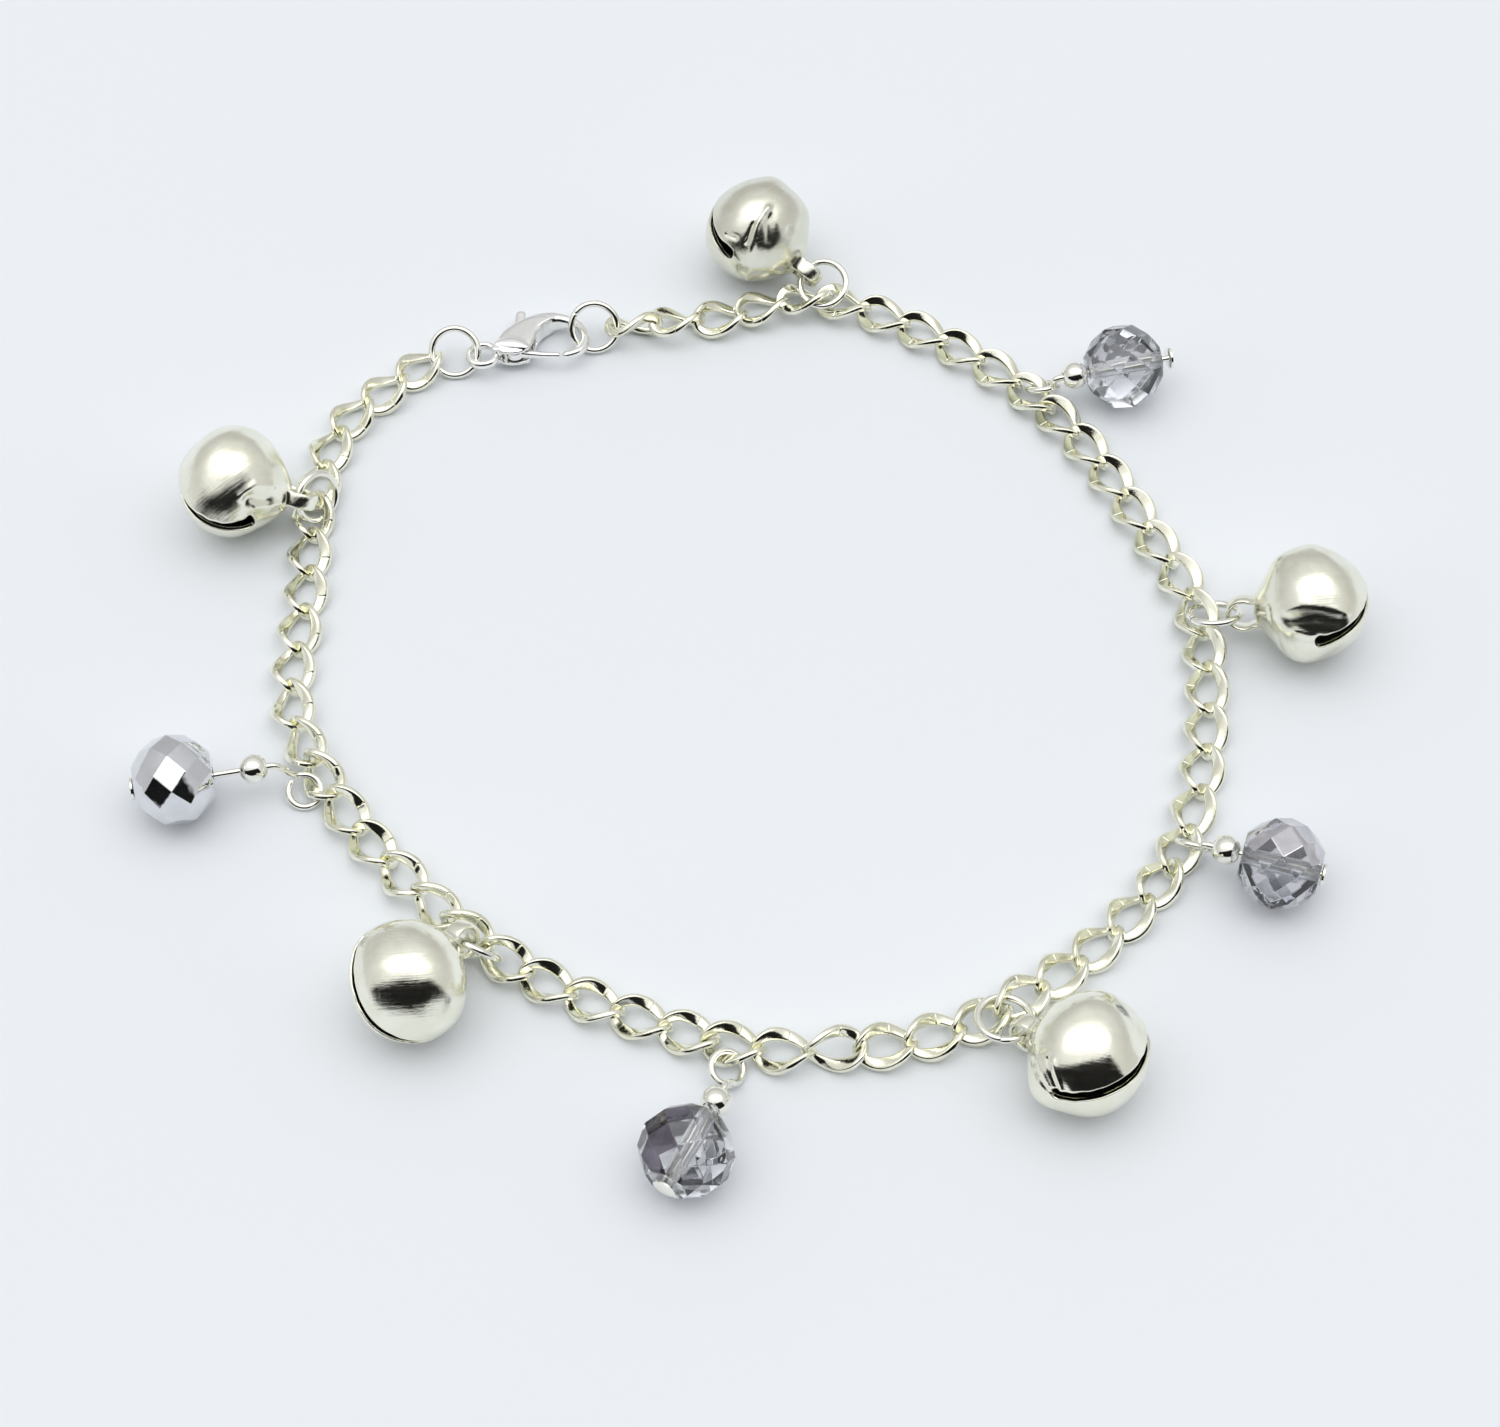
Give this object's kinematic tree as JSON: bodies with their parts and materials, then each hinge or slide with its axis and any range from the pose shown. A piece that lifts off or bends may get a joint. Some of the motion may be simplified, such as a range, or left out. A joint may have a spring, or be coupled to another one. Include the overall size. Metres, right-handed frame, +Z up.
{
  "type": "bell anklet",
  "caption": "Silver curb-chain anklet lying in a loop, hung by turns with jingle bells on jump rings and faceted grey glass beads on head pins, closed by a lobster clasp.",
  "frame": {"origin": "bottom centre of the whole anklet's box, on the surface it lies on", "axes": "+Z up from the surface, +X along the longer way across the loop, +Y towards the clasp side"},
  "size_m": [0.1067, 0.104, 0.0101],
  "materials": {
    "silver_chain": "bright silver plate, flat-ground",
    "silver_ring": "bright silver plate",
    "silver_bell": "silver plate with fine brush lines",
    "silver_pin": "bright silver plate",
    "silver_clasp": "bright silver plate",
    "grey_glass": "polished, with a thin grey mirror coat",
    "rattle_steel": "plain"
  },
  "bodies": {
    "anklet": {"bell_1": "silver_bell", "bell_2": "silver_bell", "bell_3": "silver_bell", "bell_4": "silver_bell", "bell_5": "silver_bell", "bell_ring_1": "silver_ring", "bell_ring_2": "silver_ring", "bell_ring_3": "silver_ring", "bell_ring_4": "silver_ring", "bell_ring_5": "silver_ring", "chain_1": "silver_chain", "chain_10": "silver_chain", "chain_2": "silver_chain", "chain_3": "silver_chain", "chain_4": "silver_chain", "chain_5": "silver_chain", "chain_6": "silver_chain", "chain_7": "silver_chain", "chain_8": "silver_chain", "chain_9": "silver_chain", "clasp_body": "silver_clasp", "clasp_ring_left": "silver_ring", "clasp_ring_right": "silver_ring", "crystal_1": "grey_glass", "crystal_2": "grey_glass", "crystal_3": "grey_glass", "crystal_4": "grey_glass", "headpin_1": "silver_pin", "headpin_2": "silver_pin", "headpin_3": "silver_pin", "headpin_4": "silver_pin", "rattle_1": "rattle_steel", "rattle_2": "rattle_steel", "rattle_3": "rattle_steel", "rattle_4": "rattle_steel", "rattle_5": "rattle_steel", "spacer_1": "silver_pin", "spacer_2": "silver_pin", "spacer_3": "silver_pin", "spacer_4": "silver_pin"},
    "lever": {"clasp_lever": "silver_clasp"}
  },
  "joints": [
    {"name": "lever_hinge", "type": "hinge", "parent": "anklet", "child": "lever", "pos_m": [-0.0221, 0.0355, 0.00165], "axis": [-0.017, 0.1207, 0.9925], "range_deg": [0, 30], "stiffness_Nm_per_rad": 0.0005, "springref_deg": -17.19}
  ]
}
